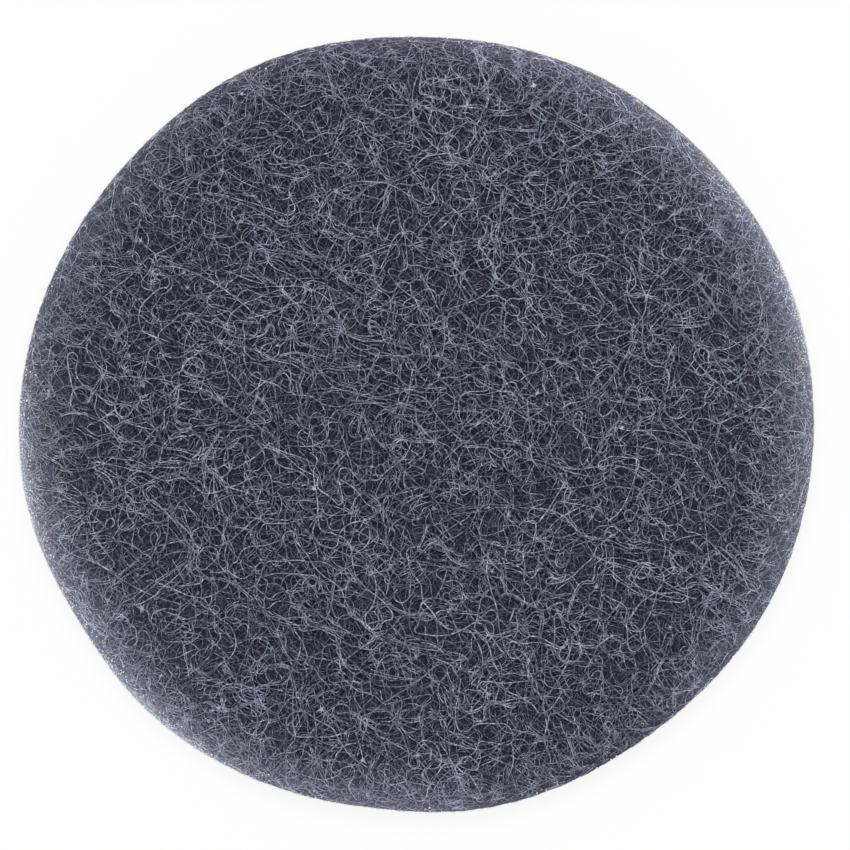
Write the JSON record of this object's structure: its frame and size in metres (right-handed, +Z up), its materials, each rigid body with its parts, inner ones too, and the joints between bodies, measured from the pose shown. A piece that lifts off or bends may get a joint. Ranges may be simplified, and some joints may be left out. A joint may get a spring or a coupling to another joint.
{
  "type": "abrasive hand pad",
  "caption": "Round non-woven abrasive hand pad: a flat dark grey disc of curly, resin-bonded fibre web with a soft rolled edge, used by hand to scuff, clean and blend surfaces.",
  "frame": {"origin": "middle of the pad's lower face, on the surface that it lies on", "axes": "+Z up through the pad's thickness, +X along its slightly greater width, +Y away from the user"},
  "size_m": [0.1248, 0.1222, 0.009],
  "materials": {
    "fibre_web": "dark slate-grey crimped nylon fibres, matt, coated with resin and fine abrasive grain"
  },
  "bodies": {
    "root": {"abrasive_web_disc": "fibre_web"}
  },
  "joints": []
}
